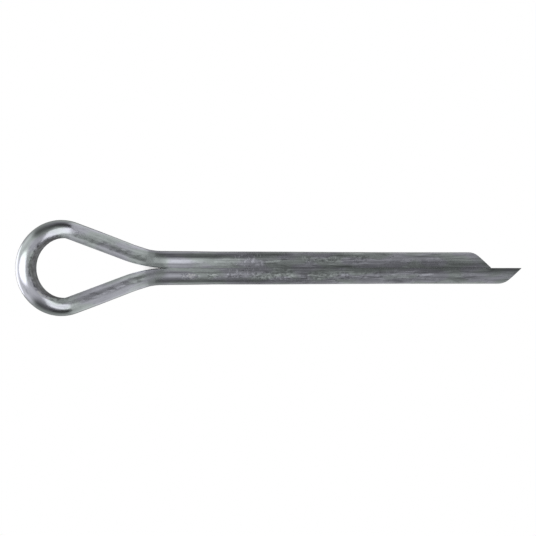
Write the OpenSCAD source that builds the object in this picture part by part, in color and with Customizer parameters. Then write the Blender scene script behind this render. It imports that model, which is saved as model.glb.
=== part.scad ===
// Cotter pin: one length of half-round wire, folded at its middle into an eye. The two prongs
// lie flat against flat, and their closed halves make the round shank.
// +X runs along the shank to the points, +Y towards the short prong, +Z out of the eye's plane.
// The origin is on the shank's axis, where the straight shank begins under the eye.
// Millimetres.

/* [Shank] */
// Diameter of the closed shank under the eye
shank_d = 3.1; // [3:0.05:3.3]
// Diameter of the closed prongs, where the shank's taper has ended
prong_d = 2.85; // [2.6:0.05:2.9]
// Length of the shank at its full diameter, from the bends
seat_len = 4; // [2:1:6]
// Distance from the bends to the end of the taper
taper_end = 20; // [15:5:25]
// Distance from the bends to the short prong's point
short_len = 30; // [28:1:40]
// How far the long prong's point reaches past the short one's
long_extra = 2.75; // [0:0.25:5]

/* [Points] */
// Angle between each cut end and the shank's axis
cut_angle = 45; // [35:5:60]
// Radius where the wire's round side rolls over into the cut
cut_round = 1.2; // [0.6:0.1:2]

/* [Eye] */
// Thickness of the wire round the eye, from its flat side to its round side
eye_wire_t = 1.65; // [1.55:0.05:1.75]
// Length of each arm's straight run, from the bend to the eye's shoulder
arm_len = 5.9; // [5.7:0.2:7.3]
// Slope of the arms, as the rise of a right triangle with whole sides
arm_rise = 44; // [7:7 in 24, 44:44 in 117]
// Inside radius of the eye's two shoulders
shoulder_r = 2.375; // [2.1:0.025:2.6]
// Radius at which each flat side bends away from the other
bend_r = 8.4; // [5:0.2:10]

/* [Edges] */
// Gap between the two flat sides along the shank
seam = 0.04; // [0.02:0.01:0.1]
// Width of the bevel that breaks each edge of the wire's flat side
edge_break = 0.06; // [0.02:0.01:0.1]

/* [Hidden] */
$fn = 96;

flat_at = seam / 2;
shank_r = shank_d / 2;
prong_r = prong_d / 2;
clear = 1;
reach = 20;
// How far the roll's circle passes outside the prong and outside the cut, so that they cross
roll_crossing = 0.01;

// The arms' run, and the slope at which the shoulders meet the eye's far end. The sides are whole,
// as is each triangle's third side, so that every join lies on coordinates of few decimals.
arm_run = arm_rise == 7 ? 24 : 117;
end_rise = 4;
end_run = 3;

// Unit vectors from the section's flat side to its round side, along the arms and at the joins
arm_out = [arm_rise, arm_run] / norm([arm_rise, arm_run]);
end_out = [-end_run, end_rise] / norm([end_run, end_rise]);

// Ends of the upper arm, on the line that its section's round side is centred on
arm_root = [-bend_r * arm_out[0], bend_r * (1 - arm_out[1])];
arm_top = arm_root + arm_len * [-arm_out[1], arm_out[0]];

// The shoulder is tangent to the arm, and the far end's arc is tangent to both shoulders
shoulder_at = arm_top - shoulder_r * arm_out;
end_r = shoulder_r + shoulder_at[1] / end_out[1];
end_at = shoulder_at - (end_r - shoulder_r) * end_out;

// The wire's section, with its round side towards +X and centred on the origin
module wire_section(r) {
    bevel_z = r - edge_break;
    intersection() {
        circle(r = r);
        polygon([
            [flat_at, -bevel_z],
            [flat_at, bevel_z],
            [flat_at + clear, bevel_z + clear],
            [r + clear, bevel_z + clear],
            [r + clear, -bevel_z - clear],
            [flat_at + clear, -bevel_z - clear]
        ]);
    }
}

// All that lies past the bevel along one edge of a straight run, whose radius grows by slope
module past_bevel(r, slope) {
    tilt = acos(1 / norm([slope, 1, 1]));
    turn = atan2(-1, -slope);
    translate([0, flat_at, r - edge_break])
        rotate([0, tilt, turn])
            translate([0, 0, reach / 2])
                cube([4 * reach, 4 * reach, reach], center = true);
}

// A straight run of wire along +X, with its round side towards +Y, from radius r_a to r_b
module straight_run(length, r_a, r_b) {
    difference() {
        rotate([0, 90, 0])
            cylinder(h = length, r1 = r_a, r2 = r_b);
        translate([-clear, flat_at - reach, -reach / 2])
            cube([length + 2 * clear, reach, reach]);
        for (side = [0, 1])
            mirror([0, 0, side])
                past_bevel(r_a, (r_b - r_a) / length);
    }
}

// A run of wire round Z, between the unit vectors from and to
module turned_run(path_r, r, from, to, round_side_in = false) {
    intersection() {
        rotate_extrude()
            translate([path_r, 0])
                mirror([round_side_in ? 1 : 0, 0])
                    wire_section(r);
        linear_extrude(height = reach, center = true)
            polygon([[0, 0], reach * from, reach * (from + to), reach * to]);
    }
}

// What a prong keeps of its length, seen along Z: a slanted cut with its outer corner rolled over
module prong_outline(tip) {
    across = [sin(cut_angle), cos(cut_angle)];
    per_height = across[1] / across[0];
    high = prong_r + clear;
    roll_y = prong_r + roll_crossing - cut_round;
    roll_x = tip - (cut_round - roll_crossing / 2) / across[0] - roll_y * per_height;
    roll_at = [roll_x, roll_y];
    intersection() {
        polygon([
            [-clear, -clear],
            [tip + clear * per_height, -clear],
            [tip - high * per_height, high],
            [-clear, high]
        ]);
        union() {
            translate(roll_at)
                circle(r = cut_round);
            polygon([
                [-clear, -clear],
                [tip + 2 * clear * per_height, -clear],
                roll_at + (cut_round + clear) * across,
                roll_at,
                [roll_x, high],
                [-clear, high]
            ]);
        }
    }
}

// One straight prong on the +Y side, from its bend to its point
module prong(tip) {
    intersection() {
        union() {
            straight_run(seat_len, shank_r, shank_r);
            translate([seat_len, 0, 0])
                straight_run(taper_end - seat_len, shank_r, prong_r);
            translate([taper_end, 0, 0])
                straight_run(tip - taper_end, prong_r, prong_r);
        }
        linear_extrude(height = reach, center = true)
            prong_outline(tip);
    }
}

// The bend, the arm and the shoulder that join one prong to the eye's far end
module eye_side() {
    translate([0, bend_r, 0])
        turned_run(bend_r, shank_r, -arm_out, [0, -1], round_side_in = true);
    translate([arm_top[0], arm_top[1], 0])
        rotate([0, 0, -atan2(arm_rise, arm_run)])
            straight_run(arm_len, eye_wire_t, shank_r);
    translate([shoulder_at[0], shoulder_at[1], 0])
        turned_run(shoulder_r, eye_wire_t, arm_out, end_out);
}

module cotter_pin() {
    color([0.62, 0.64, 0.66])
        union() {
            prong(short_len);
            mirror([0, 1, 0])
                prong(short_len + long_extra);
            eye_side();
            mirror([0, 1, 0])
                eye_side();
            translate([end_at[0], end_at[1], 0])
                turned_run(end_r, eye_wire_t, end_out, [end_out[0], -end_out[1]]);
        }
}

cotter_pin();
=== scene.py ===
"""The dressed cotter pin: one length of half-round wire, swept along its path and cut to two points.

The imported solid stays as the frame, and the swept wire stands for it. Sizes are in millimetres, and
turn into metres where they reach Blender. +X runs along the shank to the points, +Y towards the
short prong.
"""

from math import atan2, ceil, cos, pi, radians, sin, tan

import bpy
import numpy as np
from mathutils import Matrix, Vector, noise

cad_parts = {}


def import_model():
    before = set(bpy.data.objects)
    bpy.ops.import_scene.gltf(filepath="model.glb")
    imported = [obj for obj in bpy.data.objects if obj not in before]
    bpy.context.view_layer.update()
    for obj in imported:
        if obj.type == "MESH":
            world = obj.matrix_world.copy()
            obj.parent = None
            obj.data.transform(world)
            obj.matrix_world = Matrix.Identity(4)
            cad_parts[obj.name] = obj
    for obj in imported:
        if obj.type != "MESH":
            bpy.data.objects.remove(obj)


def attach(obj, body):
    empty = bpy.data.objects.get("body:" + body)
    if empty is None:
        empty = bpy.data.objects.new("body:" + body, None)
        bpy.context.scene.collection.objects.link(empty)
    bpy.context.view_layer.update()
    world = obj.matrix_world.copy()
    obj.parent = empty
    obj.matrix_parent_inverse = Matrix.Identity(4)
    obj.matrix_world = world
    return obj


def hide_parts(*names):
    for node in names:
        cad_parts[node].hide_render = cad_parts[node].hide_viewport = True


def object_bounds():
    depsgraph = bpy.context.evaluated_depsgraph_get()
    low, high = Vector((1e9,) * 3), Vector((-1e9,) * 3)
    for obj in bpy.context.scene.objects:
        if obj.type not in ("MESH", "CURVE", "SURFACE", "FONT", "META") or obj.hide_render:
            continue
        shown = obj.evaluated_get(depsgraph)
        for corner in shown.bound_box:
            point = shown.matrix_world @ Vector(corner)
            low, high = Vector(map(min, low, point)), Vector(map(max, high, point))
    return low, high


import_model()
cad_low, cad_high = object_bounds()

MM = 0.001

# The wire's path, from the short point round the eye to the long point
SHORT_LEN = 29.86
LONG_LEN = 32.61
ARM_TILT = atan2(44, 117)
ARM_LEN = 5.318
BEND_R = 11.6
BEND_AT = 0.5818
SHOULDER_R = 2.375
END_TURN = atan2(4, -3)

# The wire's section by distance from the middle of the eye: its round side's radius, and the radius
# that breaks the two edges of its flat side
RADIUS_AT = (0, 7.3, 10.3, 11.6, 12.4, 13.2, 14.1, 16.7, 18.7, 21.1, 24.0, 28.3, 32.3, 36.3, 50.0)
RADIUS = (1.643, 1.643, 1.612, 1.583, 1.525, 1.523, 1.563, 1.54, 1.51, 1.511, 1.506, 1.482, 1.459,
          1.447, 1.447)
FLAT_AT = 0.003
EDGE_AT = (0, 4.6, 5.6, 11.0, 12.2, 13.9, 14.7, 50.0)
EDGE_ROUND = (0.06, 0.06, 0.015, 0.015, 0.2, 0.2, 0.012, 0.012)

# The round side's slow unevenness: how fine it is along and round the wire, its size, and how far the
# side is drawn in so that no swelling reaches past the solid
WAVES_ALONG = 0.35
WAVES_ROUND = 0.9
WAVE_SIZE = 0.004
WAVE_INSET = 0.002

# The slanted cuts, with the outer corner of each prong rolled over and the rim of each cut broken
CUT_ANGLE = radians(45)
SHORT_ROUND = 1.05
LONG_ROUND = 1.2
CUT_BREAK = 0.03
SHEAR_LEN = 4.0

# The rings that close a cut: inset and setback of the rim's rings, as shares of CUT_BREAK, then the
# sizes of the rings inside it, and their centre as a share of the wire's thickness
RIM_RINGS = ((0.35, 0.3), (1.0, 0.0))
CAP_RINGS = (0.9, 0.65, 0.35)
CAP_CENTRE = 0.45

# How finely the wire is cut up
STEP_CURVED = 0.08
STEP_STRAIGHT = 0.11
SIDE_POINTS = 29
EDGE_POINTS = 6
FLAT_POINTS = 5

# The camera, straight above the picture's middle
IMAGE_PX = 536
MM_PER_PX = 0.0917
ORIGIN_PX = 163.0
CAMERA_HEIGHT = 1290 * MM_PER_PX
SENSOR = 36.0
CLIP_M = (0.01, 20)

# The studio, as seen in the metal: each wall's brightness by degrees down from straight above
STUDIO = {
    "right": (
        (0, 0.42), (12, 0.5), (24, 0.54), (28, 0.46), (32, 0.27), (45, 0.22), (62, 0.24), (72, 0.34),
        (80, 0.46), (104, 0.45), (120, 0.49), (140, 0.6), (152, 0.6), (162, 0.36), (171, 0.13),
        (180, 0.09),
    ),
    "back_end": (
        (0, 0.38), (18, 0.39), (24, 0.33), (29, 0.4), (35, 0.63), (41, 0.78), (52, 0.76), (60, 0.58),
        (68, 0.36), (76, 0.16), (84, 0.1), (106, 0.1), (122, 0.24), (138, 0.38), (152, 0.24),
        (165, 0.12), (180, 0.09),
    ),
    "front_end": (
        (0, 0.38), (16, 0.4), (24, 0.2), (31, 0.15), (40, 0.34), (50, 0.47), (58, 0.46), (66, 0.36),
        (76, 0.2), (86, 0.12), (106, 0.1), (122, 0.24), (138, 0.38), (152, 0.24), (165, 0.12),
        (180, 0.09),
    ),
    "sides": (
        (0, 0.27), (2, 0.28), (4, 0.34), (6.5, 0.37), (10, 0.24), (14, 0.2), (22, 0.24), (32, 0.3),
        (45, 0.3), (58, 0.2), (70, 0.11), (88, 0.06), (104, 0.15), (122, 0.25), (140, 0.3),
        (153, 0.2), (165, 0.11), (180, 0.09),
    ),
    "left": (
        (0, 0.27), (2, 0.28), (4, 0.36), (6.5, 0.42), (8.5, 0.31), (11, 0.21), (20, 0.34), (30, 0.41),
        (44, 0.46), (66, 0.5), (92, 0.56), (104, 0.7), (126, 0.5), (138, 0.34), (152, 0.24),
        (165, 0.12), (180, 0.09),
    ),
}
# Where one wall gives way to the next: the front and back ends by Y, and the rest by the cosine of the
# azimuth from +X. The border between the ends and the right wall leans with height.
TO_BACK = (-0.15, 0.15)
TO_END = (0.075, -0.01)
END_LEAN = 0.075
TO_SIDES = (-0.2, -0.36)
TO_LEFT = (-0.69, -0.82)
# Flat cards by their corners and strength: softboxes and strips are bright, and flags nearly black
CARDS = (
    ("softbox_back", [
        (-11.7, 3.5, 8), (-12.1, 3.1, 8), (-13, 4.2, 8), (-13.4, 6.5, 8), (-14.3, 10.7, 8),
        (-13.6, 12.6, 8), (-11.8, 15.6, 8), (-9.7, 19.1, 8), (-5.6, 24.5, 8), (-3.6, 27.6, 8),
        (-6.7, 11.3, 8), (-7.7, 8.1, 8), (-9, 7, 8), (-10.1, 6, 8), (-10.9, 4.9, 8),
    ], 1.0),
    ("softbox_front", [
        (-13.2, -4.7, 8), (-13.9, -7.6, 8), (-15, -11.4, 8), (-15.7, -15.6, 8), (-14.8, -18.4, 8),
        (-12.2, -24.9, 8), (-8.9, -31.6, 8), (-4.2, -34.3, 8), (-5.9, -15.4, 8), (-7.9, -9.9, 8),
        (-9, -9.3, 8), (-10.2, -8, 8), (-11.1, -7.4, 8), (-11.7, -6, 8), (-12, -5.3, 8),
    ], 0.98),
    ("strip_back", [(6, 39, 30), (60, 39, 30), (60, 64, 30), (6, 64, 30)], 0.5),
    ("strip_front", [(4, -27, 30), (60, -27, 30), (60, -78, 30), (4, -78, 30)], 0.46),
    ("ceiling", [(9, -34, 60), (90, -34, 60), (90, 34, 60), (9, 34, 60)], 0.23),
    ("flag_back", [
        (-5.6, 20, -3), (-5.6, 20, 4.8), (-17, 20, 4.8), (-17, 20, 0.5), (-11, 20, -2.8),
    ], 0.04),
    ("flag_front", [
        (-5.6, -20, -4.5), (-5.6, -20, 3.4), (-17, -20, 4.2), (-17, -20, -2), (-11, -20, -4.2),
    ], 0.04),
)
# Elliptical cards round one point: azimuth and degrees down from straight above, half width, half
# height and strength
DISCS = (
    ("softbox_left", 180, 68, 37, 50, 1.5),
    ("softbox_low", 182, 126, 40, 38, 1.35),
)
DISCS_ROUND = (-5, 0, 0)
DISCS_AWAY = 110
DISC_POINTS = 48
WHITE = (1, 1, 1, 1)

# The floor: half its width, how far it looks round for what shuts its light off, and how open it is
# where it is black and where it is fully lit
FLOOR_HALF = 3000
FLOOR_REACH = 2
FLOOR_SAMPLES = 32
FLOOR_OPEN = (0.07, 0.22)

# The finish by distance along the wire from the short point: how worn it is, how much its drawing
# lines show, and how dark the painted shade along the inner edge of its flat side is
WIRE_LEN = 90.37
WORN = (
    (0, 0.5), (6, 0.7), (9, 0.9), (21, 1.0), (24, 0.4), (27, 0.15), (39, 0.06), (49, 0.06),
    (60, 0.15), (63, 0.4), (67, 1.0), (81, 1.0), (85, 0.7), (90, 0.6),
)
LINED = (
    (0, 1.0), (25, 1.0), (29, 0.7), (32, 0.4), (37, 0.25), (39, 0.08), (49, 0.08), (52, 0.25),
    (57, 0.4), (60, 0.8), (63, 1.0), (90, 1.0),
)
INNER_EDGE_SHADE = (
    (0, 0.4), (18, 0.4), (22, 0.0), (29, 0.0), (30, 1.0), (31.2, 0.8), (32.2, 0.0), (38, 0.0),
    (39.5, 0.8), (48.1, 0.8), (49.6, 0.0), (55.6, 0.0), (56.5, 0.8), (57.6, 1.0), (58.6, 0.0),
    (66, 0.0), (70, 0.4), (90, 0.4),
)
INNER_EDGE_SHADE_OUT = (0.12, 0.03)
# Places with marks of their own: from and to along the wire, and from and to away from its flat side
TICKED = ((20.6, 23.2, 0.15, 1.35), (63.9, 66.8, 0.1, 0.6), (16.5, 17.1, 0.7, 1.2))
# In the dented places the dent noise paints a highlight on each dent's rim and shade inside it
DENTED = (
    (59.6, 61.2, 0.45, 1.05), (61.9, 63.0, 0.45, 1.0), (63.6, 65.4, 0.45, 0.9),
    (65.8, 69.8, 0.3, 1.1), (70.3, 75.0, 0.35, 1.05), (13.4, 16.8, 0.5, 1.05),
    (11.3, 12.6, 0.6, 1.1), (67.8, 69.6, 0.1, 0.6),
)
TOOLED = ((31.4, 38.4, 0.42, 0.98), (49.3, 56.2, 0.42, 0.98))
PLACE_SOFT = 0.2
PLACE_SOFT_OUT = 0.1
# How strong the ticks and dents are on the rest of the worn stretches
TICKS_ELSEWHERE = 0.35
DENTS_ELSEWHERE = 0.3
# The eye's inner wall, by distance along the wire and away from its flat side
EYE_WALL = (38.9, 48.7)
EYE_WALL_SOFT = 1.0
EYE_WALL_OUT = (0.32, 0.12)
# Painted shade on the rim of the flat side at the long point, from where the short prong's cut meets it
RIM_SHADE_FROM = (87.4, 87.8)
RIM_SHADE_OUT = (0.38, 0.23)
# Zones by X: the pinch at the bends, and the shank's two steps from bright to dull
PINCHED = (-1.5, 0.3)
PINCHED_SOFT = 0.5
FIRST_DULL = (-1, 1)
DULL = (1.5, 9)

# The noises of the finish: detail, roughness, and how fine each is along, out of and up the wire
NOISES = {
    "line": (2, 0.55, (0.13, 4.2, 4.2)),
    "fine_line": (1, 0.5, (0.3, 8, 8)),
    "dash": (1, 0.5, (0.55, 4.0, 4.0)),
    "dark_dash": (1, 0.5, (0.7, 4.3, 4.0)),
    "blotch": (3, 0.55, (0.5, 1.2, 1.2)),
    "grain": (2, 0.6, (4, 6, 6)),
    "speck": (2, 0.6, (2.6, 2.6, 1.0)),
    "mottle": (2, 0.55, (1.6, 3.2, 3.2)),
    "tick": (1, 0.5, (5.2, 1.9, 1.9)),
    "dent": (3, 0.65, (3.1, 4.2, 4.2)),
    "chip": (1, 0.5, (2.6, 3.6, 3.6)),
    "worn_spot": (2, 0.6, (0.7, 0.9, 0.9)),
    "hue": (1, 0.5, (0.4, 0.8, 0.8)),
}
# The noise of the tool's teeth, in the part's own coordinates in metres
TOOTH = (2, 0.6, (1100, 3800, 1500))
# The values at which a noise starts to make a mark and makes it in full
WORN_SPOTS = (0.44, 0.56)
TICKS = (0.53, 0.62)
# the dent noise's high values paint a highlight on each dent's rim
RIM_GLINTS = (0.53, 0.6)
# the dent noise's low values paint shade inside each dent
DENT_SHADE = (0.47, 0.4)
DASHES = (0.58, 0.68)
DARK_DASHES = (0.58, 0.7)
CHIPS = (0.6, 0.7)
TEETH = (0.47, 0.62)
MOTTLES = (0.56, 0.7)
MOTTLES_SHOW = 0.8
# How far a noise swings the brightness, and the zone in which it does
SWINGS = (
    ("line", 0.19, "lined"),
    ("fine_line", 0.08, "lined"),
    ("blotch", 0.09, "everywhere"),
    ("grain", 0.02, "worn"),
    ("speck", 0.65, "wall"),
)
SWING_OVER = (0.3, 0.7)
# What each feature multiplies the metal's brightness by
TONES = {
    "first_dull": 0.97,
    "dull": 0.58,
    "mottles": 0.78,
    "wall": 0.82,
    "pinched": 0.76,
    # painted shade on the flat side's rim past the short prong's cut
    "rim_shade_past_cut": 0.66,
    # bright scratches and dashes, and a painted highlight on the rims of dents
    "scratches_and_glints": 1.52,
    # dark chips and dashes, and painted shade inside the dents
    "dark_marks_and_dent_shade": 0.63,
    "tooled": 0.95,
    "teeth": 0.6,
    # painted shade along the inner edge of the flat side
    "inner_edge_shade": 0.5,
    "cut": 0.62,
}
GREEN_ZINC = (0.73, 0.795, 0.785, 1)
VIOLET_ZINC = (0.765, 0.775, 0.86, 1)
HUES = (0.42, 0.58)
# The roughness where no feature shows, and what each one adds to it
ROUGHNESS = 0.15
ROUGHER = {"line": 0.08, "first_dull": -0.07, "pinched": 0.08, "dull": 0.15, "dark_marks_and_dent_shade": 0.12, "teeth": 0.08}
# The height of the surface's relief: the weights of its lines and grain, and how deep the marks are cut
FINE_LINE_HEIGHT = 0.5
GRAIN_HEIGHT = 0.12
MARK_HEIGHT = {"scratches_and_glints": -0.4, "dark_marks_and_dent_shade": -0.5, "teeth": -0.3}
RELIEF = 0.012
RELIEF_STRENGTH = 0.6


# ---------------------------------------------------------------- the wire's path

def straight(start, along, length, step):
    """Points along a straight run, without its first one."""
    t = np.linspace(0, length, ceil(length / step) + 1)[1:]
    return np.array(start) + t[:, None] * np.array(along)


def turned(centre, radius, first, last, step):
    """Points round an arc from angle first to last, without its first one, and their directions."""
    a = np.linspace(first, last, ceil(abs(last - first) * radius / step) + 1)[1:]
    ray = np.stack([np.cos(a), np.sin(a)], 1)
    return np.array(centre) + radius * ray, ray


def eye_half():
    """Points and outward directions from the shank's start, on the +Y side, to the eye's far end."""
    arm_out = np.array([sin(ARM_TILT), cos(ARM_TILT)])
    bend, to_bend = turned((BEND_AT, BEND_R), BEND_R, -pi / 2, -pi / 2 - ARM_TILT, STEP_CURVED)
    arm = straight(bend[-1], (-arm_out[1], arm_out[0]), ARM_LEN, STEP_STRAIGHT)
    shoulder_at = arm[-1] - SHOULDER_R * arm_out
    shoulder, shoulder_out = turned(shoulder_at, SHOULDER_R, pi / 2 - ARM_TILT, END_TURN, STEP_CURVED)
    end_r = SHOULDER_R + shoulder_at[1] / sin(END_TURN)
    end_at = shoulder_at - (end_r - SHOULDER_R) * np.array([cos(END_TURN), sin(END_TURN)])
    end, end_out = turned(end_at, end_r, END_TURN, pi, STEP_CURVED)
    points = np.vstack([bend, arm, shoulder, end])
    outward = np.vstack([-to_bend, np.tile(arm_out, (len(arm), 1)), shoulder_out, end_out])
    return points, outward


def wire_path():
    """Points and outward directions in the XY plane, from the short point to the long one."""
    half, half_out = eye_half()
    short = straight((SHORT_LEN, 0), (-1, 0), SHORT_LEN - BEND_AT, STEP_STRAIGHT)
    short = np.vstack([[SHORT_LEN, 0], short])
    long = straight((BEND_AT, 0), (1, 0), LONG_LEN - BEND_AT, STEP_STRAIGHT)
    down = np.array([1, -1])
    points = np.vstack([short, half, half[-2::-1] * down, [[BEND_AT, 0]], long])
    outward = np.vstack([
        np.tile([0, 1], (len(short), 1)),
        half_out,
        half_out[-2::-1] * down,
        np.tile([0, -1], (len(long) + 1, 1)),
    ])
    return points, outward


def lengths_along(points):
    """Each point's distance along the path."""
    return np.r_[0, np.cumsum(np.linalg.norm(np.diff(points, axis=0), axis=1))]


# ---------------------------------------------------------------- the wire's section

def section(radius, edge):
    """The section's upper half as rows of (out, up), from the flat's middle to the round side's."""
    at = np.array([FLAT_AT + edge, ((radius - edge) ** 2 - (FLAT_AT + edge) ** 2) ** 0.5])
    meet = atan2(at[1], at[0])
    flat_up = at[1] * np.linspace(0, 1, FLAT_POINTS + 1)[:-1] ** 0.5
    flat = np.stack([np.full(len(flat_up), FLAT_AT), flat_up], 1)
    a = np.linspace(pi, meet, EDGE_POINTS + 1)[:, None]
    corner = at + edge * np.hstack([np.cos(a), np.sin(a)])
    b = np.linspace(meet, 0, SIDE_POINTS + 1)[1:, None]
    side = radius * np.hstack([np.cos(b), np.sin(b)])
    return np.vstack([flat, corner, side])


def whole_section(radius, edge):
    """The closed section, with its lower half mirrored from the upper one."""
    upper = section(radius, edge)
    return np.vstack([upper, upper[-2:0:-1] * np.array([1, -1])])


# ---------------------------------------------------------------- the slanted cuts

def cut_at(tip, out):
    """How far along X a prong reaches at a distance out from its flat side."""
    slant = tip - out / tan(CUT_ANGLE)
    roll = SHORT_ROUND if tip < LONG_LEN else LONG_ROUND
    roll_y = RADIUS[-1] - roll
    roll_x = tip - roll_y / tan(CUT_ANGLE) - roll / sin(CUT_ANGLE)
    rise = np.clip((out - roll_y) / roll, 0, 1)
    rolled = roll_x + roll * np.sqrt(1 - rise ** 2)
    return np.where(rise > cos(CUT_ANGLE), rolled, slant)


def sheared(x, out, tip):
    """Slides the last stretch of a prong's rings so that the last ring lies in the cut."""
    start = tip - SHEAR_LEN
    t = np.clip((x - start) / (tip - start), 0, 1)
    return np.where(t > 0, start + t * (cut_at(tip, out) - start), x)


# ---------------------------------------------------------------- the mesh

def waved(ring, distance):
    """A section's points with the slow unevenness of the wire's round side."""
    out, up = ring.T
    spots = [Vector((distance * WAVES_ALONG, o * WAVES_ROUND, u * WAVES_ROUND)) for o, u in ring]
    on_side = out > 2 * FLAT_AT
    swell = WAVE_SIZE * np.array([noise.noise(spot) for spot in spots]) * on_side
    return ring * (1 + (swell - WAVE_INSET) / np.hypot(out, up))[:, None]


def build_wire():
    """The wire's rings, and where each of their points lies on the wire: along it, out and up."""
    points, outward = wire_path()
    along = lengths_along(points)
    middle = along[np.argmin(points[:, 0])]
    rings, drawn = [], []
    for point, normal, distance in zip(points, outward, along):
        away = abs(distance - middle)
        radius = np.interp(away, RADIUS_AT, RADIUS)
        edge = np.interp(away, EDGE_AT, EDGE_ROUND)
        ring = waved(whole_section(radius, edge), distance)
        out, up = ring.T
        x = point[0] + normal[0] * out
        y = point[1] + normal[1] * out
        if point[0] > 0:
            x = sheared(x, out, SHORT_LEN if normal[1] > 0 else LONG_LEN)
        rings.append(np.stack([x, y, up], 1))
        drawn.append(np.stack([np.full(len(out), distance), out, up], 1))
    return np.array(rings), np.array(drawn)


def cap_rings(ring, tip, side):
    """Rings that close a cut end: a narrow broken rim, then rings that shrink to a middle point."""
    out = ring[:, 1] * side
    up = ring[:, 2]
    centre = CAP_CENTRE * out.max()
    away = np.hypot(out - centre, up)
    made = []
    for inset, back in RIM_RINGS:
        k = 1 - inset * CUT_BREAK / away
        o, u = centre + (out - centre) * k, up * k
        made.append(np.stack([cut_at(tip, o) - back * CUT_BREAK, side * o, u], 1))
    rim_out, rim_up = made[-1][:, 1] * side, made[-1][:, 2]
    for share in CAP_RINGS:
        o = centre + (rim_out - centre) * share
        made.append(np.stack([cut_at(tip, o), side * o, rim_up * share], 1))
    middle = np.array([cut_at(tip, np.array([centre]))[0], side * centre, 0.0])
    return made, middle


def ring_faces(count, n):
    """Outward faces between neighbouring rings of n points, and the fans that close both ends."""
    i = np.arange(count - 1)[:, None] * n
    j = np.arange(n)[None, :]
    k = (j + 1) % n
    quads = np.stack([i + j, i + k, i + n + k, i + n + j], -1).reshape(-1, 4)
    first_middle = count * n
    last = (count - 1) * n
    fans = [(first_middle, (a + 1) % n, a) for a in range(n)]
    fans += [(first_middle + 1, last + a, last + (a + 1) % n) for a in range(n)]
    return [*map(tuple, quads.tolist()), *fans]


def wire_mesh():
    """The wire's points, where they lie on the wire, which of them lie on a cut, and its faces."""
    rings, drawn = build_wire()
    n = rings.shape[1]
    rings[0, :, 0] -= CUT_BREAK
    rings[-1, :, 0] -= CUT_BREAK
    short_cap, short_middle = cap_rings(rings[0], SHORT_LEN, 1)
    long_cap, long_middle = cap_rings(rings[-1], LONG_LEN, -1)
    short_cap = short_cap[::-1]
    points = np.vstack([*short_cap, *rings, *long_cap, short_middle, long_middle])
    end = drawn[-1, 0, 0]
    coords = [np.stack([np.zeros(n), c[:, 1], c[:, 2]], 1) for c in short_cap]
    coords += list(drawn)
    coords += [np.stack([np.full(n, end), -c[:, 1], c[:, 2]], 1) for c in long_cap]
    coords = np.vstack([*coords, [0, short_middle[1], 0], [end, -long_middle[1], 0]])
    on_cut = np.ones(len(points))
    at_end = n * (len(short_cap) + 1)
    on_cut[at_end:-2 - at_end] = 0
    count = len(short_cap) + len(rings) + len(long_cap)
    return points, coords, on_cut, ring_faces(count, n)


def make_wire():
    """The wire as one piece, with its drawn coordinates and its cuts stored for the finish."""
    points, coords, on_cut, faces = wire_mesh()
    mesh = bpy.data.meshes.new("wire")
    mesh.from_pydata((points * MM).tolist(), [], faces)
    mesh.validate()
    mesh.update()
    drawn = mesh.attributes.new("drawn", "FLOAT_VECTOR", "POINT")
    drawn.data.foreach_set("vector", coords.astype(np.float32).ravel())
    cut = mesh.attributes.new("cut", "FLOAT", "POINT")
    cut.data.foreach_set("value", on_cut.astype(np.float32))
    mesh.polygons.foreach_set("use_smooth", np.ones(len(mesh.polygons), bool))
    piece = bpy.data.objects.new("wire", mesh)
    bpy.context.scene.collection.objects.link(piece)
    return piece


# ---------------------------------------------------------------- materials

class Graph:
    """A short way to write a node tree."""

    def __init__(self, owner):
        owner.use_nodes = True
        self.tree = owner.node_tree
        self.tree.nodes.clear()

    def add(self, kind, values=None, **settings):
        """Adds a node, sets its properties, and sets or links the inputs named in values."""
        node = self.tree.nodes.new(kind)
        for name, value in settings.items():
            setattr(node, name, value)
        for name, value in (values or {}).items():
            if isinstance(value, bpy.types.NodeSocket):
                self.tree.links.new(value, node.inputs[name])
            else:
                node.inputs[name].default_value = value
        return node

    def math(self, operation, a, b=None, c=None):
        """One step of arithmetic on numbers or sockets."""
        values = {i: v for i, v in enumerate((a, b, c)) if v is not None}
        return self.add("ShaderNodeMath", values, operation=operation).outputs[0]

    def ramp(self, value, low, high, to_low=0.0, to_high=1.0, smooth=True):
        """Maps value from low..high to to_low..to_high, and holds it outside them."""
        if low > high:
            low, high, to_low, to_high = high, low, to_high, to_low
        values = {"Value": value, "From Min": low, "From Max": high, "To Min": to_low, "To Max": to_high}
        kind = "SMOOTHSTEP" if smooth else "LINEAR"
        return self.add("ShaderNodeMapRange", values, interpolation_type=kind).outputs[0]

    def stops(self, value, stops, whole):
        """Maps value through a ramp of pairs (value, grey), where whole is the value at its end."""
        node = self.add("ShaderNodeValToRGB", {0: self.math("DIVIDE", value, whole)})
        while len(node.color_ramp.elements) < len(stops):
            node.color_ramp.elements.new(0.5)
        for stop, (at, grey) in zip(node.color_ramp.elements, stops):
            stop.position = at / whole
            stop.color = (grey, grey, grey, 1)
        return node.outputs[0]

    def noise(self, at, detail, rough, fine):
        """A noise whose features are 1 / fine wide along each axis of at."""
        at = self.add("ShaderNodeVectorMath", {0: at, 1: fine}, operation="MULTIPLY").outputs[0]
        values = {"Vector": at, "Scale": 1.0, "Detail": detail, "Roughness": rough}
        return self.add("ShaderNodeTexNoise", values).outputs[0]

    def mix(self, share, a, b):
        """Colour a where share is 0, and colour b where it is 1."""
        values = {"Factor": share, "A": a, "B": b}
        node = self.tree.nodes.new("ShaderNodeMix")
        node.data_type = "RGBA"
        for name, value in values.items():
            socket = [s for s in node.inputs if s.name == name and s.enabled][0]
            if isinstance(value, bpy.types.NodeSocket):
                self.tree.links.new(value, socket)
            else:
                socket.default_value = value
        return [s for s in node.outputs if s.enabled][0]


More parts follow.
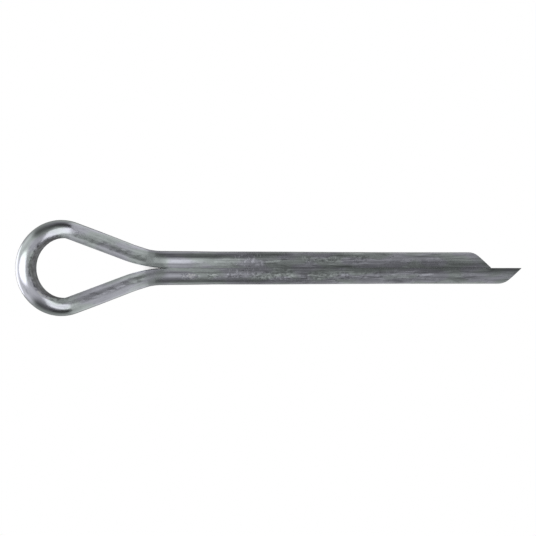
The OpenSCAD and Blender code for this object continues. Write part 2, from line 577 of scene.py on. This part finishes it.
def between(g, value, low, high, soft):
    """1 where value lies between low and high, with soft ends."""
    above = g.ramp(value, low - soft, low + soft)
    below = g.ramp(value, high + soft, high - soft)
    return g.math("MULTIPLY", above, below)


def in_places(g, along, out, places):
    """1 within any of the places, with soft ends."""
    found = 0.0
    for first, last, near, far in places:
        beside = between(g, along, first, last, PLACE_SOFT)
        place = g.math("MULTIPLY", beside, between(g, out, near, far, PLACE_SOFT_OUT))
        found = g.math("MAXIMUM", found, place)
    return found


def marks(g, noise_value, limits, share):
    """The marks that a noise makes between two limits, as strong as share lets them be."""
    return g.math("MULTIPLY", g.ramp(noise_value, *limits), share)


def swing(g, value, size, share):
    """A factor round 1 that a noise swings by size, more or less of it by share."""
    return g.math("MULTIPLY_ADD", g.ramp(value, *SWING_OVER, -size, size), share, 1.0)


def faded(g, share, factor):
    """1 where share is 0, and the factor where it is 1."""
    return g.ramp(share, 0, 1, 1.0, factor, False)


def times(g, factors):
    """The product of all the factors."""
    found = factors[0]
    for factor in factors[1:]:
        found = g.math("MULTIPLY", found, factor)
    return found


def plus(g, start, look, weights):
    """start, plus each feature that weights names times its weight."""
    found = start
    for name, weight in weights.items():
        found = g.math("MULTIPLY_ADD", look[name], weight, found)
    return found


def noises(g, drawn, place):
    """Every noise of the finish by its name."""
    found = {name: g.noise(drawn, *settings) for name, settings in NOISES.items()}
    found["tooth"] = g.noise(place, *TOOTH)
    return found


def zones(g, along, out, x):
    """Where the finish differs from place to place, each from 0 to 1."""
    mm = g.math("DIVIDE", x, MM)
    inner_edge_shade = g.stops(along, INNER_EDGE_SHADE, WIRE_LEN)
    wall = between(g, along, *EYE_WALL, EYE_WALL_SOFT)
    return {
        "everywhere": 1.0,
        "worn": g.stops(along, WORN, WIRE_LEN),
        "lined": g.stops(along, LINED, WIRE_LEN),
        # painted shade along the inner edge of the flat side, in the seam between the legs and round the
        # eye
        "inner_edge_shade": g.math("MULTIPLY", inner_edge_shade, g.ramp(out, *INNER_EDGE_SHADE_OUT)),
        "wall": g.math("MULTIPLY", wall, g.ramp(out, *EYE_WALL_OUT)),
        # painted shade on the flat side's rim past the short prong's cut
        "rim_shade_past_cut": g.math("MULTIPLY", g.ramp(along, *RIM_SHADE_FROM), g.ramp(out, *RIM_SHADE_OUT)),
        "pinched": between(g, mm, *PINCHED, PINCHED_SOFT),
        "first_dull": g.ramp(mm, *FIRST_DULL),
        "dull": g.ramp(mm, *DULL),
        "tooled": in_places(g, along, out, TOOLED),
        "ticked": in_places(g, along, out, TICKED),
        "dented": in_places(g, along, out, DENTED),
    }


def add_marks(g, look):
    """Adds the marks that the noises make in their zones: bright scratches and dashes with a painted
    highlight on the rims of dents, dark chips and dashes with painted shade inside the dents, teeth and
    mottles.
    """
    worn = look["worn"]
    spots = marks(g, look["worn_spot"], WORN_SPOTS, worn)
    ticked = g.math("MAXIMUM", look["ticked"], g.math("MULTIPLY", spots, TICKS_ELSEWHERE))
    dented = g.math("MAXIMUM", look["dented"], g.math("MULTIPLY", spots, DENTS_ELSEWHERE))
    ticks = marks(g, look["tick"], TICKS, ticked)
    # painted highlight on each dent's rim
    rim_glints = marks(g, look["dent"], RIM_GLINTS, dented)
    # painted shade inside each dent
    dent_shade = marks(g, look["dent"], DENT_SHADE, dented)
    dashes = marks(g, look["dash"], DASHES, worn)
    dark_dashes = marks(g, look["dark_dash"], DARK_DASHES, worn)
    chips = marks(g, look["chip"], CHIPS, spots)
    smooth = g.math("MULTIPLY", g.math("SUBTRACT", 1.0, worn), MOTTLES_SHOW)
    # bright scratches and dashes, and the painted highlight on the dents' rims
    look["scratches_and_glints"] = g.math("MAXIMUM", dashes, g.math("MAXIMUM", ticks, rim_glints))
    # dark chips and dashes, and the painted shade inside the dents
    look["dark_marks_and_dent_shade"] = g.math("MAXIMUM", g.math("MAXIMUM", chips, dent_shade), dark_dashes)
    look["teeth"] = marks(g, look["tooth"], TEETH, look["tooled"])
    look["mottles"] = marks(g, look["mottle"], MOTTLES, smooth)


def zinc_colour(g, look):
    """The plating's tint, made brighter and darker by the noises and the marks."""
    factors = [swing(g, look[name], size, look[zone]) for name, size, zone in SWINGS]
    factors += [faded(g, look[name], tone) for name, tone in TONES.items()]
    tint = g.mix(g.ramp(look["hue"], *HUES), GREEN_ZINC, VIOLET_ZINC)
    values = {0: tint, "Scale": times(g, factors)}
    return g.add("ShaderNodeVectorMath", values, operation="SCALE").outputs[0]


def relief(g, look):
    """The bump of the drawing lines, the grain and the marks."""
    lines = g.math("MULTIPLY_ADD", look["fine_line"], FINE_LINE_HEIGHT, look["line"])
    grain = g.math("MULTIPLY", look["grain"], look["worn"])
    height = g.math("MULTIPLY", lines, look["lined"])
    height = g.math("MULTIPLY_ADD", grain, GRAIN_HEIGHT, height)
    height = plus(g, height, look, MARK_HEIGHT)
    values = {"Strength": RELIEF_STRENGTH, "Distance": RELIEF * MM, "Height": height}
    return g.add("ShaderNodeBump", values).outputs[0]


def zinc():
    """Bright zinc on drawn wire: lengthwise drawing lines, dull and scuffed along the prongs, with
    painted highlights and painted shade on its marks and painted shade along its inner edges.
    """
    material = bpy.data.materials.new("zinc_plated_steel")
    g = Graph(material)
    drawn = g.add("ShaderNodeAttribute", attribute_name="drawn").outputs["Vector"]
    place = g.add("ShaderNodeTexCoord").outputs["Object"]
    along, out, _ = g.add("ShaderNodeSeparateXYZ", {0: drawn}).outputs
    x = g.add("ShaderNodeSeparateXYZ", {0: place}).outputs[0]
    look = {**noises(g, drawn, place), **zones(g, along, out, x)}
    look["cut"] = g.add("ShaderNodeAttribute", attribute_name="cut").outputs["Fac"]
    add_marks(g, look)
    shader = g.add("ShaderNodeBsdfPrincipled", {
        "Base Color": zinc_colour(g, look),
        "Metallic": 1.0,
        "Roughness": plus(g, ROUGHNESS, look, ROUGHER),
        "Normal": relief(g, look),
    })
    g.add("ShaderNodeOutputMaterial", {"Surface": shader.outputs[0]})
    return material


# ---------------------------------------------------------------- the studio

def mesh_object(name, corners, faces, material):
    """A mesh that belongs to the studio and not to the pin."""
    mesh = bpy.data.meshes.new(name)
    mesh.from_pydata([tuple(v * MM for v in c) for c in corners], [], faces)
    mesh.update()
    mesh.materials.append(material)
    made = bpy.data.objects.new(name, mesh)
    bpy.context.scene.collection.objects.link(made)
    return made


def glow(name, strength):
    """A material that gives off even white light."""
    material = bpy.data.materials.new(name)
    g = Graph(material)
    shader = g.add("ShaderNodeEmission", {"Color": WHITE, "Strength": strength})
    g.add("ShaderNodeOutputMaterial", {"Surface": shader.outputs[0]})
    return material


def disc(azimuth, fall, across, height):
    """The rim of an elliptical card that faces the pin, by its direction from the pin in degrees."""
    a, f = radians(azimuth), radians(fall)
    to = Vector((sin(f) * cos(a), sin(f) * sin(a), cos(f)))
    side = Vector((0, 0, 1)).cross(to).normalized()
    up = to.cross(side)
    middle = Vector(DISCS_ROUND) + DISCS_AWAY * to
    turns = np.linspace(0, 2 * pi, DISC_POINTS + 1)[:-1]
    return [tuple(middle + across * cos(t) * side + height * sin(t) * up) for t in turns]


def card(name, corners, strength):
    """A flat card beside the pin that only reflections show."""
    made = mesh_object(name, corners, [tuple(range(len(corners)))], glow(name, strength))
    made.visible_camera = False
    made.visible_diffuse = False
    made.visible_shadow = False
    return made


def floor():
    """A white floor that is evenly lit, except where the pin shuts nearly all light off from it."""
    material = bpy.data.materials.new("floor")
    g = Graph(material)
    around = {"Distance": FLOOR_REACH * MM}
    open_sky = g.add("ShaderNodeAmbientOcclusion", around, samples=FLOOR_SAMPLES).outputs["AO"]
    lit = g.ramp(open_sky, *FLOOR_OPEN)
    shader = g.add("ShaderNodeEmission", {"Color": WHITE, "Strength": lit})
    g.add("ShaderNodeOutputMaterial", {"Surface": shader.outputs[0]})
    h = FLOOR_HALF
    z = cad_low.z / MM
    corners = [(-h, -h, z), (h, -h, z), (h, h, z), (-h, h, z)]
    made = mesh_object("floor", corners, [(0, 1, 2, 3)], material)
    made.visible_glossy = False
    made.visible_diffuse = False
    made.visible_shadow = False


def world():
    """Five walls, each a ramp from straight up to straight down, and white for the camera itself."""
    made = bpy.data.worlds.new("studio")
    bpy.context.scene.world = made
    g = Graph(made)
    way = g.add("ShaderNodeTexCoord").outputs["Generated"]
    x, y, z = g.add("ShaderNodeSeparateXYZ", {0: way}).outputs
    level = g.math("MAXIMUM", g.math("SUBTRACT", 1.0, g.math("MULTIPLY", z, z)), 1e-4)
    towards = g.math("DIVIDE", x, g.math("SQRT", level))
    fall = g.math("DEGREES", g.math("ARCCOSINE", z))
    walls = {name: g.stops(fall, stops, 180) for name, stops in STUDIO.items()}
    ends = g.mix(g.ramp(y, *TO_BACK), walls["front_end"], walls["back_end"])
    leaning = g.math("MULTIPLY_ADD", z, END_LEAN, towards)
    shown = g.mix(g.ramp(leaning, *TO_END, 1.0, 0.0), ends, walls["right"])
    shown = g.mix(g.ramp(towards, *TO_SIDES, 1.0, 0.0), walls["sides"], shown)
    shown = g.mix(g.ramp(towards, *TO_LEFT, 1.0, 0.0), walls["left"], shown)
    seen = g.add("ShaderNodeLightPath").outputs["Is Camera Ray"]
    shown = g.mix(seen, shown, WHITE)
    back = g.add("ShaderNodeBackground", {"Color": shown, "Strength": 1.0})
    g.add("ShaderNodeOutputWorld", {"Surface": back.outputs[0]})


def lights():
    """The cards and discs that the pin reflects."""
    for name, corners, strength in CARDS:
        card(name, corners, strength)
    for name, azimuth, fall, across, height, strength in DISCS:
        card(name, disc(azimuth, fall, across, height), strength)


def camera():
    """A camera that looks straight down, with the picture's scale at the pin's middle height."""
    data = bpy.data.cameras.new("camera")
    data.sensor_width = SENSOR
    data.lens = SENSOR / IMAGE_PX * CAMERA_HEIGHT / MM_PER_PX
    data.clip_start, data.clip_end = CLIP_M
    made = bpy.data.objects.new("camera", data)
    bpy.context.scene.collection.objects.link(made)
    made.location = ((IMAGE_PX / 2 - ORIGIN_PX) * MM_PER_PX * MM, 0, CAMERA_HEIGHT * MM)
    bpy.context.scene.camera = made


wire = make_wire()
wire.data.materials.append(zinc())
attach(wire, "root")
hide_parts("cotter_pin")

floor()
world()
lights()
camera()
bpy.context.scene.view_settings.view_transform = "Standard"
